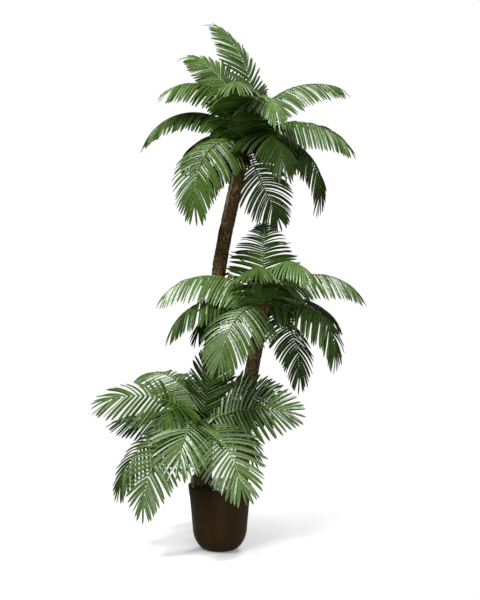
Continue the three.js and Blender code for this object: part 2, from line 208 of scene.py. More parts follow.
def tube_faces(first, rings, sides, foot, top):
    """Faces of a tube, from its rings' first point, closed by a point at its foot and one at its top."""
    starts = [first + i * sides for i in range(rings)]
    faces = []
    for j in range(sides):
        k = (j + 1) % sides
        faces.append((foot, starts[0] + k, starts[0] + j))
        faces += [(low + j, low + k, high + k, high + j) for low, high in zip(starts, starts[1:])]
        faces.append((top, starts[-1] + j, starts[-1] + k))
    return faces


def turned(outline, sides):
    """Points and faces of a shape turned about the upright axis, where its outline starts and ends."""
    turns = np.arange(sides) * 2 * math.pi / sides
    points = [(0, 0, outline[0][1]), (0, 0, outline[-1][1])]
    for radius, height in outline[1:-1]:
        points += [(radius * math.cos(a), radius * math.sin(a), height) for a in turns]
    return points, tube_faces(2, len(outline) - 2, sides, foot=0, top=1)


def make_piece(name, points, faces, nodes, sharp_angle):
    """A mesh piece from points in millimetres, with its sharp edges kept crisp, on the only body."""
    mesh = bpy.data.meshes.new(name)
    mesh.from_pydata((np.asarray(points, float) * MM).tolist(), [], faces)
    mesh.polygons.foreach_set("use_smooth", [True] * len(mesh.polygons))
    mesh.set_sharp_from_angle(angle=math.radians(sharp_angle))
    piece = bpy.data.objects.new(name, mesh)
    bpy.context.scene.collection.objects.link(piece)
    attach(piece, "root")
    if nodes:
        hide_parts(*nodes)
    return piece


def mix_colours(tree, share, first, second):
    """The output of a colour mix. The share is a socket, each colour a socket or a plain colour."""
    mix = tree.nodes.new("ShaderNodeMix")
    mix.data_type = "RGBA"
    tree.links.new(share, mix.inputs["Factor"])
    for socket, colour in ((mix.inputs[6], first), (mix.inputs[7], second)):
        if isinstance(colour, tuple):
            socket.default_value = colour
        else:
            tree.links.new(colour, socket)
    return mix.outputs[2]


def new_group(name, values, masks):
    """A shader node group, still empty, that takes a place and some values and puts out some masks."""
    group = bpy.data.node_groups.new(name, "ShaderNodeTree")
    group.interface.new_socket("Vector", in_out="INPUT", socket_type="NodeSocketVector")
    for value in values:
        group.interface.new_socket(value, in_out="INPUT", socket_type="NodeSocketFloat")
    for mask in masks:
        group.interface.new_socket(mask, in_out="OUTPUT", socket_type="NodeSocketFloat")
    return group, group.nodes.new("NodeGroupInput").outputs, group.nodes.new("NodeGroupOutput").inputs


def add_noise(tree, place, scale, detail, roughness):
    pattern = add_node(tree, "ShaderNodeTexNoise", Detail=detail, Roughness=roughness)
    tree.links.new(place, pattern.inputs["Vector"])
    tree.links.new(scale, pattern.inputs["Scale"])
    return pattern.outputs["Fac"]


def make_skin_group():
    """The unevenness of a moulded plastic skin: broad waves and a fine grain."""
    group, given, result = new_group("moulded skin", ("Wave Scale", "Grain Scale"), ("Waves", "Grain"))
    for scale, name, detail in (("Wave Scale", "Waves", 3), ("Grain Scale", "Grain", 2)):
        pattern = add_noise(group, given["Vector"], given[scale], detail, roughness=0.55)
        group.links.new(pattern, result[name])
    return group


def place_group(tree, group, stretch=None, **inputs):
    """The group in a material, read in the object's own coordinates, which can be stretched."""
    made = tree.nodes.new("ShaderNodeGroup")
    made.node_tree = group
    place = tree.nodes.new("ShaderNodeTexCoord").outputs["Object"]
    if stretch:
        stretched = tree.nodes.new("ShaderNodeVectorMath")
        stretched.operation = "MULTIPLY"
        stretched.inputs[1].default_value = stretch
        tree.links.new(place, stretched.inputs[0])
        place = stretched.outputs[0]
    tree.links.new(place, made.inputs["Vector"])
    for name, value in inputs.items():
        made.inputs[name.replace("_", " ")].default_value = value
    return made


def raise_bumps(tree, height, shader, strength, distance):
    bump = add_node(tree, "ShaderNodeBump", Strength=strength, Distance=distance)
    tree.links.new(height, bump.inputs["Height"])
    tree.links.new(bump.outputs["Normal"], shader.inputs["Normal"])


def pot_plastic():
    material, tree, shader = new_material("pot plastic")
    skin = place_group(tree, moulded_skin, Wave_Scale=7, Grain_Scale=420)
    # Upright streaks of lighter brown, partly a painted reflection of the lamps.
    streaks = place_group(tree, moulded_skin, STREAK_STRETCH, Wave_Scale=15)
    grain_and_sheen_share = spread_over(tree, streaks.outputs["Waves"], STREAK_RANGE)
    tree.links.new(mix_colours(tree, grain_and_sheen_share, POT_BROWN, POT_STREAK_AND_SHEEN), shader.inputs["Base Color"])
    dull = spread_over(tree, skin.outputs["Waves"], WAVE_RANGE, POT_ROUGHNESS)
    tree.links.new(dull, shader.inputs["Roughness"])
    shader.inputs["Specular IOR Level"].default_value = POT_SHINE
    raise_bumps(tree, skin.outputs["Grain"], shader, strength=0.12, distance=0.0006)
    return material


def make_pot():
    collar_foot = POT_HEIGHT - COLLAR_HEIGHT
    collar_radius = RIM_RADIUS - POT_TAPER * COLLAR_HEIGHT
    lip = POT_WALL / 2
    turns = np.linspace(0, math.pi, LIP_STEPS)
    rim = [(RIM_RADIUS - lip + lip * math.cos(a), POT_HEIGHT - lip + lip * math.sin(a)) for a in turns]
    edge = [(r + (FOOT_RING_DEPTH if z < FOOT_RING_HEIGHT else 0), z) for r, z in pot_edge(0)]
    outline = [(0, 0)] + [(FOOT_RADIUS - inset, 0) for inset in FOOT_LOOPS] + edge
    outline += [(collar_radius - COLLAR_STEP, collar_foot - COLLAR_STEP), (collar_radius, collar_foot)]
    outline += rim + pot_edge(POT_WALL)[::-1] + [(0, POT_WALL)]
    points, faces = turned(outline, POT_SIDES)
    pot = make_piece("pot_shell", points, faces, ["pot"], sharp_angle=32)
    pot.data.materials.append(pot_plastic())


moulded_skin = make_skin_group()
make_pot()

# Mound: the hard filling that is cast in the pot round the feet of the trunks and holds them upright.
# It is pale and dusty with spots of soil, and rises from a little under the rim towards the middle.
FILL_EDGE = 14
FILL_GAP = 0.3
MOUND_RISE = 26
MOUND_DEPTH = 60
MOUND_RADIUS = RIM_RADIUS - POT_WALL - FILL_GAP - POT_TAPER * FILL_EDGE
MOUND_TUCK = 4
MOUND_RINGS = 14
MOUND_SIDES = 72
MOUND_LUMP = 1.6
MOUND_FINENESS = 0.11
MOUND_DUST = (0.42, 0.42, 0.37, 1)
MOUND_SOIL = (0.05, 0.042, 0.03, 1)
BLOTCH_EDGE = (0.52, 0.68)


def mound_height(x, y):
    share = np.hypot(x, y) / MOUND_RADIUS
    return POT_HEIGHT - FILL_EDGE + MOUND_RISE * (1 - share**2)


def make_mottling_group():
    """Natural mottling: broad blotches with a soft edge, and a fine grain that can run lengthwise."""
    scales = ("Blotch Scale", "Grain Scale", "Upright Squeeze")
    group, given, result = new_group("mottling", scales, ("Blotches", "Grain"))
    blotch = add_noise(group, given["Vector"], given["Blotch Scale"], detail=5, roughness=0.62)
    group.links.new(spread_over(group, blotch, BLOTCH_EDGE, soft=True), result["Blotches"])
    squeeze = add_node(group, "ShaderNodeCombineXYZ", X=1, Y=1)
    group.links.new(given["Upright Squeeze"], squeeze.inputs["Z"])
    squeezed = group.nodes.new("ShaderNodeVectorMath")
    squeezed.operation = "MULTIPLY"
    group.links.new(given["Vector"], squeezed.inputs[0])
    group.links.new(squeeze.outputs[0], squeezed.inputs[1])
    grain = add_noise(group, squeezed.outputs[0], given["Grain Scale"], detail=6, roughness=0.65)
    group.links.new(grain, result["Grain"])
    return group


def mottled_material(name, ground, blotch, blotch_scale, grain_scale, roughness, bump):
    material, tree, shader = new_material(name)
    scales = {"Blotch_Scale": blotch_scale, "Grain_Scale": grain_scale, "Upright_Squeeze": 1}
    pattern = place_group(tree, mottling, **scales)
    colour = mix_colours(tree, pattern.outputs["Blotches"], ground, blotch)
    tree.links.new(colour, shader.inputs["Base Color"])
    shader.inputs["Roughness"].default_value = roughness
    raise_bumps(tree, pattern.outputs["Grain"], shader, strength=0.6, distance=bump)
    return material


def make_mound():
    underside = POT_HEIGHT - MOUND_DEPTH
    outline = [(0, underside), (MOUND_RADIUS - MOUND_TUCK, underside)]
    for share in np.linspace(1, 0, MOUND_RINGS):
        outline.append((share * MOUND_RADIUS, float(mound_height(share * MOUND_RADIUS, 0))))
    points, faces = turned(outline, MOUND_SIDES)
    rough = []
    for x, y, z in points:
        lift = MOUND_LUMP * noise.noise(Vector((x, y, 0)) * MOUND_FINENESS) if z > underside else 0
        rough.append((x, y, z + lift))
    mound = make_piece("filling_mound", rough, faces, ["pot_filling"], sharp_angle=60)
    finish = {"blotch_scale": 34, "grain_scale": 300, "roughness": 0.95, "bump": 0.002}
    mound.data.materials.append(mottled_material("cast mound", MOUND_DUST, MOUND_SOIL, **finish))


mottling = make_mottling_group()
make_mound()

# Stone chippings: small crushed stones, most of them pale, with some grey and a few brown ones.
# They are strewn over the mound and lie partly sunk in it, with none where the moss is thickest.
CHIP_SEED = 5
CHIPPINGS = 1500
CHIP_SIZES = (2.2, 5.2)
CHIP_STRETCH = (0.7, 1.1)
STONE_LUMPS = (0.72, 1.12)
CHIP_RINGS = 3
CHIP_SIDES = 5
CHIP_LIFT = 0.3
CHIPS_OUT_TO = 0.97
# Each shade of chip, and its share of all chips.
CHIP_SHADES = {
    (0.86, 0.86, 0.81, 1): 0.48,
    (0.64, 0.64, 0.58, 1): 0.3,
    (0.4, 0.41, 0.34, 1): 0.13,
    (0.12, 0.085, 0.055, 1): 0.09,
}
CHIP_SPOTS = 0.6
MOSS_MIDDLE = (-60, -88)
MOSS_RADIUS = 34
MOSS_CORE = 0.8


def rough_ball(rng, rings, sides):
    """Points and faces of a lumpy ball of radius one, as a chip of stone has it."""
    points = [(0, 0, -1)]
    for i in range(1, rings):
        tilt = math.pi * i / rings - math.pi / 2
        level = math.cos(tilt)
        for j in range(sides):
            turn = 2 * math.pi * (j + 0.5 * (i % 2)) / sides
            points.append((level * math.cos(turn), level * math.sin(turn), math.sin(tilt)))
    points.append((0, 0, 1))
    faces = tube_faces(1, rings - 1, sides, foot=0, top=len(points) - 1)
    return np.array(points) * rng.uniform(*STONE_LUMPS, (len(points), 1)), faces


def turned_at_random(rng, points):
    axes, _ = np.linalg.qr(rng.normal(size=(3, 3)))
    axes[:, 0] *= np.sign(np.linalg.det(axes))
    return points @ axes.T


def shifted(faces, start):
    """The same faces over points that are numbered from the start."""
    return [tuple(start + k for k in face) for face in faces]


def scaled_colour(colour, share):
    return tuple(min(1, share * c) for c in colour[:3]) + (1,)


def deal_materials(piece, materials, dealt):
    """Gives a piece several materials, with the number of the right one for each of its faces."""
    for material in materials:
        piece.data.materials.append(material)
    piece.data.polygons.foreach_set("material_index", np.array(dealt, dtype=np.int32))


def scatter_chippings():
    rng = np.random.default_rng(CHIP_SEED)
    points = []
    faces = []
    dealt = []
    for _ in range(CHIPPINGS):
        radius = MOUND_RADIUS * CHIPS_OUT_TO * math.sqrt(rng.random())
        turn = rng.uniform(0, 2 * math.pi)
        x, y = radius * math.cos(turn), radius * math.sin(turn)
        size = rng.uniform(*CHIP_SIZES)
        chip, sides = rough_ball(rng, CHIP_RINGS, CHIP_SIDES)
        chip = turned_at_random(rng, chip * size * rng.uniform(*CHIP_STRETCH, 3))
        shade = rng.choice(len(CHIP_SHADES), p=list(CHIP_SHADES.values()))
        if math.dist((x, y), MOSS_MIDDLE) < MOSS_CORE * MOSS_RADIUS:
            continue
        chip = chip + (x, y, mound_height(x, y) + CHIP_LIFT * size)
        faces += shifted(sides, len(points))
        dealt += [shade] * len(sides)
        points += chip.tolist()
    finish = {"blotch_scale": 160, "grain_scale": 700, "roughness": 0.85, "bump": 0.0008}
    stone = []
    for i, shade in enumerate(CHIP_SHADES):
        spots = scaled_colour(shade, CHIP_SPOTS)
        stone.append(mottled_material(f"chipping {i + 1}", shade, spots, **finish))
    chips = make_piece("stone_chippings", points, faces, [], sharp_angle=20)
    deal_materials(chips, stone, dealt)


scatter_chippings()

# Moss: a patch of dark artificial moss at the foot of the low trunk, thickest in its middle. Its near-black
# colour is partly painted shade, where shade falls between the trunk's foot and the front of the rim.
# Its fibres are thin three-sided spikes that lean all ways, stuck into the mound between the chippings.
MOSS_SEED = 8
MOSS_FIBRES = 900
MOSS_CROWDING = 2.2
MOSS_EDGE = 2
MOSS_SUNK = 1
MOSS_HEIGHT = 19
MOSS_HEIGHTS = (0.5, 1.15)
MOSS_LEAN = 0.45
FIBRE_RADIUS = 1.7
# Near-black ground colour: the moss's own dark green with painted shade in it.
MOSS_DARK_AND_SHADE = (0.006, 0.010, 0.003, 1)
MOSS_LIGHT = (0.022, 0.032, 0.010, 1)


def plant_moss():
    rng = np.random.default_rng(MOSS_SEED)
    points = []
    faces = []
    for _ in range(MOSS_FIBRES):
        x, y = np.array(MOSS_MIDDLE) + rng.normal(0, MOSS_RADIUS / MOSS_CROWDING, 2)
        if math.hypot(x, y) > MOUND_RADIUS - MOSS_EDGE:
            continue
        foot = np.array((x, y, mound_height(x, y) - MOSS_SUNK))
        lean = rng.normal(0, MOSS_LEAN, 2)
        tip = foot + np.array((*lean, 1)) * MOSS_HEIGHT * rng.uniform(*MOSS_HEIGHTS)
        turn = rng.uniform(0, 2 * math.pi)
        faces += shifted([(2, 1, 0), (0, 1, 3), (1, 2, 3), (2, 0, 3)], len(points))
        for k in range(3):
            angle = turn + 2 * math.pi * k / 3
            around = np.array((math.cos(angle), math.sin(angle), 0))
            points.append((foot + FIBRE_RADIUS * around).tolist())
        points.append(tip.tolist())
    moss = make_piece("moss", points, faces, [], sharp_angle=30)
    finish = {"blotch_scale": 60, "grain_scale": 500, "roughness": 0.9, "bump": 0.001}
    moss.data.materials.append(mottled_material("moss", MOSS_DARK_AND_SHADE, MOSS_LIGHT, **finish))


plant_moss()

# Rough stones: two lumps of stone, grey with tan patches, beside the feet of the tall and the low trunk.
# They stand on end and lean a little, bedded in the mound.
STONE_SEED = 3
STONE_RINGS = 7
STONE_SIDES = 9
STONE_LIFT = 0.62
STONE_GREY = (0.16, 0.155, 0.105, 1)
STONE_TAN = (0.30, 0.27, 0.18, 1)
# Each stone's place, half its size each way, and its lean in degrees.
ROUGH_STONES = (((-102, -6), (17, 16, 32), 9), ((-88, 34), (14, 13, 22), -6))


def set_rough_stones():
    rng = np.random.default_rng(STONE_SEED)
    points = []
    faces = []
    for (x, y), halves, lean in ROUGH_STONES:
        stone, sides = rough_ball(rng, STONE_RINGS, STONE_SIDES)
        c, s = math.cos(math.radians(lean)), math.sin(math.radians(lean))
        tilt = np.array(((c, 0, s), (0, 1, 0), (-s, 0, c)))
        stone = (stone * halves) @ tilt.T + (x, y, mound_height(x, y) + STONE_LIFT * halves[2])
        faces += shifted(sides, len(points))
        points += stone.tolist()
    stones = make_piece("rough_stones", points, faces, [], sharp_angle=18)
    finish = {"blotch_scale": 55, "grain_scale": 260, "roughness": 0.85, "bump": 0.003}
    stones.data.materials.append(mottled_material("rough stone", STONE_GREY, STONE_TAN, **finish))


set_rough_stones()

# Trunks: three poles covered in rough dark bark, each leaning and bending its own way, cast into the
# mound at the foot and rounded off into a bud at the top, where the fronds are set in.
# Along one narrow strip on the front left of the tall trunk, under the crown, the bark is a pale tan.
SPLINE_STEPS = 60
TRUNK_POINTS = 400
BARK_SIDES = 72
BARK_STEP = 4
BUD_STEPS = 12
# Points on each trunk's axis, and its radius at the foot and at the top.
TRUNKS = {
    "tall": (
        ((-66, 30, 170), (-57, 42, 440), (-36, 56, 800), (0, 68, 1150), (52, 78, 1410), (104, 84, 1656)),
        (30, 28),
    ),
    "middle": (
        ((80, 3, 170), (97, -8, 450), (124, -28, 690), (154, -42, 860), (178, -50, 990)),
        (29, 27),
    ),
    "low": (
        ((-68, -42, 170), (-74, -50, 290), (-70, -62, 420), (-66, -70, 540)),
        (28, 26),
    ),
}
# Each layer of the bark: its height, and how fine it is across and along the trunk.
LUMPS = (1.5, 0.03, 0.016)
FISSURES = (2.4, 0.10, 0.030)
FLAKES = (1.0, 0.32, 0.16)
FISSURE_WIDTH = 0.22
FISSURE_SHIFT = 40
# The pale tan strip: the heading of its middle and half its width in degrees, and its lower and upper end.
PALE_STRIP = {"tall": (224, 15, 1290, 1590)}
STRIP_EDGE = 6
STRIP_END = 120
# Each wave of the strip's ragged edge: its size in degrees, how fine it is, and where it is read.
STRIP_WAVES = ((9, 0.03, (0, 0)), (5, 0.11, (3, 1)))
BARK_DARK = (0.0064, 0.0039, 0.0015, 1)
BARK_BROWN = (0.0800, 0.0485, 0.0192, 1)
LICHEN = (0.135, 0.122, 0.062, 1)
STRIP_TAN = (0.31, 0.24, 0.135, 1)
BARK_GRAIN = (0.38, 0.64)
LICHEN_RANGE = (0.4, 1)
LICHEN_COVER = 0.6
BARK_ROUGHNESS = 0.85
BARK_SHINE = 0.08


def unit(vectors):
    return vectors / np.linalg.norm(vectors, axis=-1, keepdims=True)


def line_steps(line):
    """The distance from each point of a line to the next."""
    return np.linalg.norm(np.diff(line, axis=0), axis=1)


def read_line(places, run, values):
    """What a line's three columns of values come to at some places of its run."""
    return np.stack([np.interp(places, run, values[:, k]) for k in range(3)], axis=1)


def even_line(line, count):
    """The same line with its points evenly spaced."""
    run = np.concatenate(([0], np.cumsum(line_steps(line))))
    return read_line(np.linspace(0, run[-1], count), run, line)


def smooth_line(points, count):
    """Points evenly spaced on a smooth line through the given ones, by a centripetal spline."""
    p = np.array(points, float)
    p = np.vstack((2 * p[0] - p[1], p, 2 * p[-1] - p[-2]))
    knots = np.concatenate(([0], np.cumsum(np.sqrt(line_steps(p)))))
    fine = []
    for i in range(1, len(p) - 2):
        t = np.linspace(knots[i], knots[i + 1], SPLINE_STEPS)[:, None]
        k = knots[i - 1 : i + 3]
        q = p[i - 1 : i + 3]
        a = [((k[j + 1] - t) * q[j] + (t - k[j]) * q[j + 1]) / (k[j + 1] - k[j]) for j in range(3)]
        b = [((k[j + 2] - t) * a[j] + (t - k[j]) * a[j + 1]) / (k[j + 2] - k[j]) for j in range(2)]
        fine.append(((k[2] - t) * b[0] + (t - k[1]) * b[1]) / (k[2] - k[1]))
    return even_line(np.vstack(fine), count)


def relief_noise(place, across, along, shift=0):
    x, y, z = place
    return noise.noise(Vector((x * across, y * across, z * along + shift)))


def bark_relief(place):
    """Height of the bark over the limb: broad lumps, lengthwise fissures and small flakes."""
    lumps = relief_noise(place, *LUMPS[1:])
    fissures = max(0, FISSURE_WIDTH - abs(relief_noise(place, *FISSURES[1:], FISSURE_SHIFT)))
    flakes = relief_noise(place, *FLAKES[1:])
    return LUMPS[0] * lumps - FISSURES[0] * fissures / FISSURE_WIDTH + FLAKES[0] * flakes


def pale_strip_share(name, turn, height):
    """How far a place lies in the pale tan strip, from 0 to 1, at a turn in degrees round the trunk."""
    if name not in PALE_STRIP:
        return 0
    middle, half, low, high = PALE_STRIP[name]
    ragged = sum(size * noise.noise(Vector((*spot, height * fine))) for size, fine, spot in STRIP_WAVES)
    beside = abs((turn - middle - ragged + 180) % 360 - 180)
    along = min(height - low, high - height) / STRIP_END
    return max(0, min(1, (half - beside) / STRIP_EDGE, along))


def trunk_rings(axis, foot_radius, top_radius):
    """Middle, direction and radius of each ring of a trunk, with the bud's dome at the end."""
    line = smooth_line(axis, TRUNK_POINTS)
    length = line_steps(line).sum()
    shoulder = 1 - top_radius / length
    shares = np.linspace(0, shoulder, int(length / BARK_STEP))
    run = np.linspace(0, 1, len(line))
    middles = read_line(shares, run, line)
    ahead = read_line(shares, run, unit(np.gradient(line, axis=0)))
    radii = foot_radius + (top_radius - foot_radius) * shares / shoulder
    turn = np.linspace(0, math.pi / 2, BUD_STEPS + 1)[1:-1]
    dome = middles[-1] + np.outer(top_radius * np.sin(turn), ahead[-1])
    middles = np.vstack((middles, dome))
    radii = np.concatenate((radii, top_radius * np.cos(turn)))
    ahead = np.vstack((ahead, np.repeat(ahead[-1:], len(turn), axis=0)))
    return middles, unit(ahead), radii


def make_trunk(name, axis, foot_radius, top_radius):
    middles, ahead, radii = trunk_rings(axis, foot_radius, top_radius)
    turns = np.arange(BARK_SIDES) * 2 * math.pi / BARK_SIDES
    points = []
    strip_shares = []
    for middle, way, radius in zip(middles, ahead, radii):
        across = unit(np.array((1, 0, 0)) - way[0] * way)
        back = np.cross(way, across)
        for turn in turns:
            outward = math.cos(turn) * across + math.sin(turn) * back
            place = middle + radius * outward
            relief = bark_relief(place) * min(1, radius / top_radius)
            points.append(place + relief * outward)
            strip_shares.append(pale_strip_share(name, math.degrees(turn), place[2]))
    last_turn = math.pi / 2 * (BUD_STEPS - 1) / BUD_STEPS
    points.append(middles[0])
    points.append(middles[-1] + ahead[-1] * (top_radius - top_radius * math.sin(last_turn)))
    strip_shares += [0, 0]
    faces = tube_faces(0, len(middles), BARK_SIDES, foot=len(points) - 2, top=len(points) - 1)
    trunk = make_piece(f"bark_{name}", points, faces, [f"trunk_{name}"], sharp_angle=60)
    mark = trunk.data.attributes.new("tan_strip", "FLOAT", "POINT")
    mark.data.foreach_set("value", np.array(strip_shares, dtype=np.float32))
    trunk.data.materials.append(bark)


def bark_material():
    material, tree, shader = new_material("bark")
    pattern = place_group(tree, mottling, Blotch_Scale=34, Grain_Scale=170, Upright_Squeeze=0.6)
    grain_and_sheen_share = spread_over(tree, pattern.outputs["Grain"], BARK_GRAIN)
    brown = mix_colours(tree, grain_and_sheen_share, BARK_DARK, BARK_BROWN)
    patches = spread_over(tree, pattern.outputs["Blotches"], LICHEN_RANGE, (0, LICHEN_COVER))
    patched = mix_colours(tree, patches, brown, LICHEN)
    strip = tree.nodes.new("ShaderNodeAttribute")
    strip.attribute_name = "tan_strip"
    strip_colour = mix_colours(tree, pattern.outputs["Grain"], BARK_BROWN, STRIP_TAN)
    tree.links.new(mix_colours(tree, strip.outputs["Fac"], patched, strip_colour), shader.inputs["Base Color"])
    shader.inputs["Roughness"].default_value = BARK_ROUGHNESS
    shader.inputs["Specular IOR Level"].default_value = BARK_SHINE
    raise_bumps(tree, pattern.outputs["Grain"], shader, strength=0.8, distance=0.004)
    return material


bark = bark_material()
for trunk_name, (trunk_axis, trunk_radii) in TRUNKS.items():
    make_trunk(trunk_name, trunk_axis, *trunk_radii)

# Ribs: each frond is carried by a wire in a soft plastic sleeve, a little paler than its frond's green and
# so with the same painted light and shade. The wire is pushed into the bud, where the roots of a crown
# keep apart, and is bent by hand into an arc.
SLEEVE_COLOUR = 1.4
SLEEVE_ROUGHNESS = 0.45
SLEEVE_BUMP = 0.0005
PALE_WAVES = 1.5
ROUGHNESS_SPREAD = (-0.06, 0.08)
RIB_SIZES = (3.4, 1.0)
RIB_FOOT = (3.2, 0.035)
RIB_FLATTENED = 0.85
RIB_SIDES = 8
RIB_RINGS = 48
RIB_POINTS = 161
BUD_LINE_POINTS = 600
ROOT_SPACING = 13
ROOT_SPREAD = 0.82
ROOT_LIMITS = (-6, 88)
ROOT_DEPTH = 0.7
ROOT_LED = 0.4
ROOT_ROUNDS = 60
# A frond's heading, its rise at the root and its fall to the tip, in degrees, its length, the roll of its
# blade, how long its leaflets are for its crown, and its shade of green. The shade is partly painted light
# and shade: fronds in front that face the lamps get the paler greens, fronds inside and behind the crowns
# the darker ones.
Frond = namedtuple("Frond", "heading rise fall length roll leafy green")
# A crown's leaflets: their spacing, length and width, their fold in degrees, their sag, and how uneven they
# are. Then the rows of its fronds.
CROWNS = {
    "tall": {
        "spacing": 12.8,
        "length": 160,
        "width": 11.6,
        "fold": 8,
        "sag": 1.1,
        "ruffle": 0.35,
        "fronds": (
            (175, 114, 71, 515, -38, 1.0, "middle"),
            (163, 94, 69, 450, -60, 0.9, "middle"),
            (199, 100, 128, 455, -35, 1.0, "middle"),
            (181, 66, 118, 462, -22, 0.8, "dark"),
            (230, 18, 116, 465, -30, 1.05, "middle"),
            (150, -6, 70, 230, 0, 0.85, "deep"),
            (65, -38, 0, 430, -35, 1.0, "fresh"),
            (294, 32, 98, 428, 0, 1.0, "deep"),
            (350, 30, 128, 465, 18, 1.05, "dark"),
            (350, 46, 90, 450, 35, 0.95, "middle"),
            (7, 80, 92, 500, 30, 0.92, "middle"),
            (294, 94, 156, 440, 0, 0.9, "pale"),
            (264, 78, 100, 455, 0, 1.1, "middle"),
            (48, 42, 88, 430, 0, 1.0, "dark"),
            (128, 42, 92, 430, 0, 1.0, "dark"),
            (90, 64, 84, 420, 0, 1.0, "dark"),
        ),
    },
    "middle": {
        "spacing": 12.8,
        "length": 160,
        "width": 10.8,
        "fold": 8,
        "sag": 1.1,
        "ruffle": 0.35,
        "fronds": (
            (88, 80, 46, 425, 0, 1.15, "dark"),
            (185, 64, 105, 440, -22, 1.0, "pale"),
            (192, 38, 95, 405, -18, 0.9, "dark"),
            (241, 17, 86, 405, -20, 1.1, "fresh"),
            (264, 80, 98, 350, 0, 1.05, "middle"),
            (299, 90, 128, 422, 0, 0.95, "pale"),
            (3, 67, 109, 436, 25, 0.9, "fresh"),
            (345, 33, 124, 405, 22, 1.0, "middle"),
            (50, -4, 88, 400, 0, 0.95, "fresh"),
            (40, 30, 74, 420, 0, 0.95, "dark"),
            (136, 30, 88, 420, 0, 0.95, "dark"),
            (94, 44, 84, 410, 0, 1.0, "middle"),
        ),
    },
    "low": {
        "spacing": 18,
        "length": 168,
        "width": 13.6,
        "fold": 4,
        "sag": 0.36,
        "ruffle": 0.3,
        "fronds": (
            (340, 82, 6, 290, 88, 0.8, "deep"),
            (136, 68, 81, 415, -20, 0.85, "fresh"),
            (180, 46, 62, 395, -40, 1.05, "middle"),
            (156, 10, 22, 370, -30, 0.85, "dark"),
            (186, 4, 77, 420, -25, 1.0, "dark"),
            (219, -3, 82, 425, -30, 0.92, "pale"),
            (259, 26, 74, 390, -15, 1.1, "pale"),
            (295, 1, 52, 408, 20, 1.05, "pale"),
            (330, 28, 33, 375, 80, 0.95, "fresh"),
            (108, 56, 70, 410, 0, 0.95, "dark"),
            (50, 42, 84, 410, 0, 0.95, "dark"),
            (345, 42, 30, 285, 75, 0.85, "dark"),
            (120, 12, 66, 400, 0, 0.95, "dark"),
            (56, 8, 66, 390, 0, 0.95, "dark"),
            (232, 62, 116, 300, 0, 0.85, "dark"),
        ),
    },
}
# Each green's colour and how much it shines. They are lighter and darker copies of one green plastic:
# partly real differences in tone, partly painted light and shade, as they go to lit and shaded fronds.
GREENS = {
    "deep": ((0.0056, 0.0130, 0.0010, 1), 0.1),
    "dark": ((0.0098, 0.0220, 0.0018, 1), 0.13),
    "middle": ((0.0165, 0.0350, 0.0034, 1), 0.2),
    "fresh": ((0.0195, 0.0395, 0.0050, 1), 0.44),
    "pale": ((0.0268, 0.0525, 0.0088, 1), 0.58),
}
GREEN_ORDER = list(GREENS)


def root_directions(fronds, bud_radius):
    """Starting directions of a crown's ribs, pushed apart over the bud until each root has room."""
    start = []
    for frond in fronds:
        up = math.radians(min(max(frond.rise * ROOT_SPREAD, ROOT_LIMITS[0]), ROOT_LIMITS[1]))
        turn = math.radians(frond.heading)
        level = math.cos(up)
        start.append(np.array((level * math.cos(turn), level * math.sin(turn), math.sin(up))))
    room = ROOT_SPACING / bud_radius
    for _ in range(ROOT_ROUNDS):
        for i in range(len(start)):
            for j in range(i):
                angle = math.acos(min(1, max(-1, start[i] @ start[j])))
                if angle < room:
                    apart = (start[i] - start[j]) * (room - angle) / (2 * angle)
                    start[i] = unit(start[i] + apart)
                    start[j] = unit(start[j] - apart)
    return start


def rib_line(frond, centre, direction, bud_radius):
    """A rib's axis: an arc from the middle of the bud, whose first part is led out through its root."""
    turn = math.radians(frond.heading)
    share = (np.arange(RIB_POINTS - 1) + 0.5) / (RIB_POINTS - 1)
    slope = np.radians(frond.rise - frond.fall * share)
    level = np.cos(slope)
    ahead = np.stack((level * math.cos(turn), level * math.sin(turn), np.sin(slope)), axis=1)
    arc = centre + np.vstack((np.zeros(3), np.cumsum(ahead, axis=0))) * frond.length / (RIB_POINTS - 1)
    u = np.linspace(ROOT_DEPTH * bud_radius / frond.length, 1, RIB_POINTS)
    on_arc = read_line(u, np.linspace(0, 1, RIB_POINTS), arc)
    ease = np.maximum(0, 1 - u / ROOT_LED)[:, None] ** 2
    on_root = centre + np.outer(u * frond.length, direction)
    return even_line(on_arc * (1 - ease) + on_root * ease, RIB_POINTS)


def rib_lines(name, fronds):
    """The axes of all ribs of a crown."""
    trunk_axis, (_, bud_radius) = TRUNKS[name]
    trunk = smooth_line(trunk_axis, BUD_LINE_POINTS)
    shoulder = 1 - bud_radius / line_steps(trunk).sum()
    centre = trunk[round(shoulder * (len(trunk) - 1))]
    directions = root_directions(fronds, bud_radius)
    return [rib_line(frond, centre, way, bud_radius) for frond, way in zip(fronds, directions)]


def rib_frames(line, frond, shares):
    """Place and axes of a rib at shares of its length: along it, to its left, out of its upper face."""
    run = np.linspace(0, 1, len(line))
    at = read_line(shares, run, line)
    along = unit(read_line(shares, run, np.gradient(line, axis=0)))
    turn = math.radians(frond.heading)
    level = np.array((-math.sin(turn), math.cos(turn), 0))
    left = unit(level - (along @ level)[:, None] * along)
    upper = np.cross(along, left)
    c, s = math.cos(math.radians(frond.roll)), math.sin(math.radians(frond.roll))
    return at, along, left * c + upper * s, upper * c - left * s


def leaf_plastic(name, colour, roughness, shine, bump):
    """Soft green plastic, a little paler, duller and higher in broad waves."""
    material, tree, shader = new_material(name)
    waves = place_group(tree, moulded_skin, Wave_Scale=48).outputs["Waves"]
    paler = scaled_colour(colour, PALE_WAVES)
    tree.links.new(mix_colours(tree, waves, colour, paler), shader.inputs["Base Color"])
    dull = spread_over(tree, waves, WAVE_RANGE, [roughness + change for change in ROUGHNESS_SPREAD])
    tree.links.new(dull, shader.inputs["Roughness"])
    shader.inputs["Specular IOR Level"].default_value = shine
    raise_bumps(tree, waves, shader, strength=0.6, distance=bump)
    return material


def frond_nodes(name, count):
    return [f"frond_{name}_{i + 1:02d}" for i in range(count)]


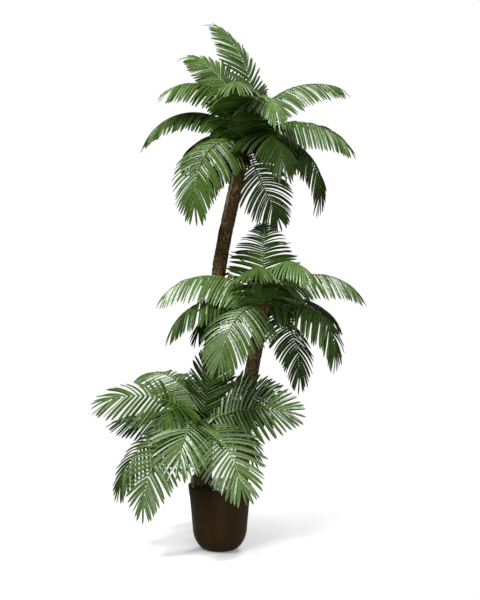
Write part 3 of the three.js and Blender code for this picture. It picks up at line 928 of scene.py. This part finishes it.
def make_ribs(name, led):
    turns = np.arange(RIB_SIDES) * 2 * math.pi / RIB_SIDES
    shares = np.linspace(0, 1, RIB_RINGS)
    sizes = RIB_SIZES[0] + (RIB_SIZES[1] - RIB_SIZES[0]) * shares
    sizes = sizes + RIB_FOOT[0] * np.exp(-shares / RIB_FOOT[1])
    points = []
    faces = []
    dealt = []
    for frond, line in led:
        base = len(points)
        for at, _, left, upper, size in zip(*rib_frames(line, frond, shares), sizes):
            for turn in turns:
                around = math.cos(turn) * left + RIB_FLATTENED * math.sin(turn) * upper
                points.append((at + size * around).tolist())
        for j in range(RIB_SIDES):
            k = (j + 1) % RIB_SIDES
            for low in range(base, len(points) - RIB_SIDES, RIB_SIDES):
                faces.append((low + j, low + k, low + RIB_SIDES + k, low + RIB_SIDES + j))
        faces.append(tuple(base + j for j in reversed(range(RIB_SIDES))))
        faces.append(tuple(len(points) - RIB_SIDES + j for j in range(RIB_SIDES)))
        dealt += [GREEN_ORDER.index(frond.green)] * (len(faces) - len(dealt))
    nodes = frond_nodes(name, len(led))
    ribs = make_piece(f"ribs_{name}", points, faces, nodes, sharp_angle=60)
    deal_materials(ribs, sleeves, dealt)


sleeves = []
for green, (colour, shine) in GREENS.items():
    sleeve = scaled_colour(colour, SLEEVE_COLOUR)
    sleeves.append(leaf_plastic(f"{green} rib sleeve", sleeve, SLEEVE_ROUGHNESS, shine, SLEEVE_BUMP))

# Leaflets: thin strips of soft green plastic, moulded with a crease along the middle and a blunt tip,
# glossy above and duller below. They sit in pairs along each rib, with one more at its end, and keep out
# of the trunks and the pot. Each crown is put together rib by rib, then leaflet by leaflet.
LEAFLETS_FROM = 0.015
LEAFLETS_TO = 0.985
PLACE_JITTER = 0.0012
ANGLE_AT_ROOT = 94
ANGLE_AT_TIP = 21
CLOSING = 1.8
ANGLE_JITTER = (0.9, 1.6)
LIFT_JITTER = (2, 3)
TWIST_JITTER = 15
TWIST_AT_ROOT = 0.5
SWEEP = 0.2
CURL = 0.28
EDGEWISE_SAG = 0.8
SAG_JITTER = 0.35
UPRIGHT_FROM = 0.6
UPRIGHT_BY = 0.85
UPRIGHT_CLOSED = 40
UPRIGHT_SAG = 0.34
UPRIGHT_TIP = 0.7
UPRIGHT_TIP_LATE = 3
SHORTEST = 0.7
GROWN_FROM = 0.27
TIP_SHORTENED = 0.14
TIP_LATE = 6
LENGTH_VARIES = (0.93, 1.03)
NARROWEST = 0.7
WIDTH_VARIES = (0.92, 1.05)
END_LEAFLET = 92
END_WIDTH = 0.7
SHORTER = (1, 0.8, 0.62, 0.46, 0.32)
LIFTED = (0, 18, 36)
ROOM_POINTS = 160
CLEAR_OF_BARK = 4
CLEAR_FROM = 3
LEAFLET_THICKNESS = 0.7
CREASE = 0.52
PLEAT = 0.16
PLEAT_PLACE = 0.5
ALONG = np.array((0.012, 0.11, 0.26, 0.44, 0.62, 0.78, 0.9, 0.965))
WIDTHS = np.array((0.84, 0.92, 0.98, 1.03, 1.04, 0.96, 0.7, 0.36))
SECTION_ACROSS = np.array((-1, -PLEAT_PLACE, 0, PLEAT_PLACE, 1, PLEAT_PLACE, 0, -PLEAT_PLACE))
SECTION_FACE = np.array((0, 1, 1, 1, 0, -1, -1, -1))
WORLD_UP = np.array((0, 0, 1))
SHADE_SEED = 100
SHADE_STEPS = (-1, 0, 1)
SHADE_SHARES = (0.16, 0.68, 0.16)
TOP_ROUGHNESS = 0.42
UNDERSIDE_ROUGHNESS = 0.55
# Undersides are paler than the tops: partly the back of the plastic, partly painted light on undersides
# that lie in the shade of the fronds above them.
UNDERSIDE_TONE_AND_LIGHT = 1.2
UNDERSIDE_SHINE = 0.5
LEAF_BUMP = 0.005


def blades(at, along, left, upper, side, angle, lift, length, width, twist, sag):
    """Middle line of each leaflet, from its root to its tip, and the rings of points round it."""
    lift = np.radians(lift)[:, None]
    angle = np.radians(angle)[:, None]
    out = side[:, None] * left * np.cos(lift) + upper * np.sin(lift)
    start = along * np.cos(angle) + out * np.sin(angle)
    droop = sag[:, None] * (EDGEWISE_SAG + (1 - EDGEWISE_SAG) * np.abs(upper[:, 2:]))
    end = unit(start + SWEEP * along - CURL * upper - droop * WORLD_UP)
    bend = (end - start)[:, None, :]
    t = np.concatenate(([0], ALONG, [1]))[None, :, None]
    middle = at[:, None, :] + length[:, None, None] * (start[:, None, :] * t + bend * t * t / 2)
    ahead = unit(start[:, None, :] + bend * t)
    across = (along * np.sin(angle) - out * np.cos(angle))[:, None, :] * side[:, None, None]
    across = unit(across - (across * ahead).sum(-1, keepdims=True) * ahead)
    normal = np.cross(across, ahead)
    turn = np.radians(twist)[:, None, None] * (TWIST_AT_ROOT + t)
    wide = across * np.cos(turn) + normal * np.sin(turn)
    thick = normal * np.cos(turn) - across * np.sin(turn)
    half = (width[:, None] * WIDTHS)[:, :, None] / 2
    drop = -CREASE * np.abs(SECTION_ACROSS) - PLEAT * (np.abs(SECTION_ACROSS) == PLEAT_PLACE)
    high = half * drop + SECTION_FACE * LEAFLET_THICKNESS / 2
    rings = middle[:, 1:-1, None, :] + (half * SECTION_ACROSS)[..., None] * wide[:, 1:-1, None, :]
    return middle, rings + high[..., None] * thick[:, 1:-1, None, :]


def trunk_room():
    """Points on the axes of all trunks, with the radius to keep clear of."""
    places = []
    radii = []
    for axis, (foot_radius, top_radius) in TRUNKS.values():
        places.append(smooth_line(axis, ROOM_POINTS))
        radii.append(np.linspace(foot_radius, top_radius, ROOM_POINTS) + CLEAR_OF_BARK)
    return np.vstack(places), np.concatenate(radii)


def is_clear(middle):
    """Whether each leaflet's middle line keeps out of the pot and, past its own root, of the trunks."""
    places, radii = limbs
    gaps = np.linalg.norm(middle[:, CLEAR_FROM:, None, :] - places, axis=-1) - radii
    inside = np.hypot(middle[..., 0], middle[..., 1]) < RIM_RADIUS + CLEAR_OF_BARK
    in_pot = inside & (middle[..., 2] < POT_HEIGHT + CLEAR_OF_BARK)
    return (gaps.min(axis=(1, 2)) > 0) & ~in_pot.any(axis=1)


def leaflet_forms(rng, crown, frond, share, along, upper):
    """Angle, lift, length, width, twist and sag of each leaflet, by its share of the way to the tip."""
    count = len(share)
    ruffle = crown["ruffle"]
    grown = SHORTEST + (1 - SHORTEST) * np.sin(math.pi * (GROWN_FROM + (1 - GROWN_FROM) * share))
    upright = (along[:, 2].mean() - UPRIGHT_FROM) / (UPRIGHT_BY - UPRIGHT_FROM)
    upright = min(max(upright, 0), 1)
    angle = ANGLE_AT_ROOT + (ANGLE_AT_TIP - ANGLE_AT_ROOT) * share**CLOSING
    angle = angle + rng.normal(0, ANGLE_JITTER[0] + ANGLE_JITTER[1] * ruffle, count)
    angle = angle - UPRIGHT_CLOSED * np.maximum(0, along[:, 2]) * (1 - share)
    lift = rng.normal(0, LIFT_JITTER[0] + LIFT_JITTER[1] * ruffle, count) - crown["fold"]
    lift = lift - crown["fold"] * np.maximum(0, upper[:, 2]) ** 2
    length = crown["length"] * frond.leafy * grown * rng.uniform(*LENGTH_VARIES, count)
    upright_shortened = (1 - UPRIGHT_TIP) * upright
    length = length * (1 - TIP_SHORTENED * share**TIP_LATE - upright_shortened * share**UPRIGHT_TIP_LATE)
    width = crown["width"] * (NARROWEST + (1 - NARROWEST) * grown) * rng.uniform(*WIDTH_VARIES, count)
    twist = rng.normal(0, TWIST_JITTER, count)
    stiff = 1 - (1 - UPRIGHT_SAG) * upright
    sag = stiff * crown["sag"] * np.exp(rng.normal(0, SAG_JITTER * ruffle, count))
    return angle, lift, length, width, twist, sag


def leaflet_mesh(rng, crown, frond, line):
    """Roots, rings and tips of a frond's leaflets. One without room is lifted, shortened or left out."""
    spacing = crown["spacing"] * min(1, frond.leafy)
    pairs = round(frond.length * (LEAFLETS_TO - LEAFLETS_FROM) / spacing)
    share = np.tile(np.linspace(0, 1, pairs), 2)
    side = np.repeat((1.0, -1.0), pairs)
    place = LEAFLETS_FROM + (LEAFLETS_TO - LEAFLETS_FROM) * share
    axes = rib_frames(line, frond, place + rng.normal(0, PLACE_JITTER, len(share)))
    forms = leaflet_forms(rng, crown, frond, share, axes[1], axes[3])
    angle, lift, length, *rest = forms
    middle, rings = blades(*axes, side, *forms)
    kept = np.zeros(len(share), bool)
    for shorter, lifted in itertools.product(SHORTER, LIFTED):
        tried_middle, tried_rings = blades(*axes, side, angle, lift + lifted, length * shorter, *rest)
        fits = is_clear(tried_middle) & ~kept
        middle[fits] = tried_middle[fits]
        rings[fits] = tried_rings[fits]
        kept |= fits
    # Side, angle, lift, length, width, twist and sag of the leaflet that ends the rib.
    end = (1, 0, 0, END_LEAFLET, END_WIDTH * crown["width"], 0, crown["sag"])
    end_middle, end_rings = blades(*rib_frames(line, frond, np.ones(1)), *np.array(end)[:, None])
    middle = np.vstack((middle[kept], end_middle))
    rings = np.vstack((rings[kept], end_rings))
    return middle[:, 0], rings, middle[:, -1]


def make_leaflets(name, crown, led):
    rng = np.random.default_rng(len(led))
    deal = np.random.default_rng(SHADE_SEED + len(led))
    sides = len(SECTION_ACROSS)
    ring_points = len(ALONG) * sides
    template = tube_faces(0, len(ALONG), sides, foot=ring_points, top=ring_points + 1)
    half = len(template) // 2
    points = []
    faces = []
    dealt = []
    for frond, line in led:
        for root, rings, tip in zip(*leaflet_mesh(rng, crown, frond, line)):
            faces += shifted(template, len(points))
            points += rings.reshape(-1, 3).tolist() + [root.tolist(), tip.tolist()]
            shade = GREEN_ORDER.index(frond.green) + deal.choice(SHADE_STEPS, p=SHADE_SHARES)
            top = 2 * min(max(shade, 0), len(GREEN_ORDER) - 1)
            dealt += [top] * half + [top + 1] * half
    nodes = frond_nodes(name, len(led))
    leaflets = make_piece(f"leaflets_{name}", points, faces, nodes, sharp_angle=45)
    deal_materials(leaflets, leaf_sides, dealt)


leaf_sides = []
for green, (colour, shine) in GREENS.items():
    leaf_sides.append(leaf_plastic(f"{green} leaf", colour, TOP_ROUGHNESS, shine, LEAF_BUMP))
    # Paler undersides, partly painted light in the shade under the fronds.
    below = scaled_colour(colour, UNDERSIDE_TONE_AND_LIGHT)
    duller = (UNDERSIDE_ROUGHNESS, UNDERSIDE_SHINE * shine, LEAF_BUMP)
    leaf_sides.append(leaf_plastic(f"{green} leaf underside", below, *duller))
limbs = trunk_room()
for crown_name, crown in CROWNS.items():
    fronds = [Frond(*row) for row in crown["fronds"]]
    led = list(zip(fronds, rib_lines(crown_name, fronds)))
    make_ribs(crown_name, led)
    make_leaflets(crown_name, crown, led)
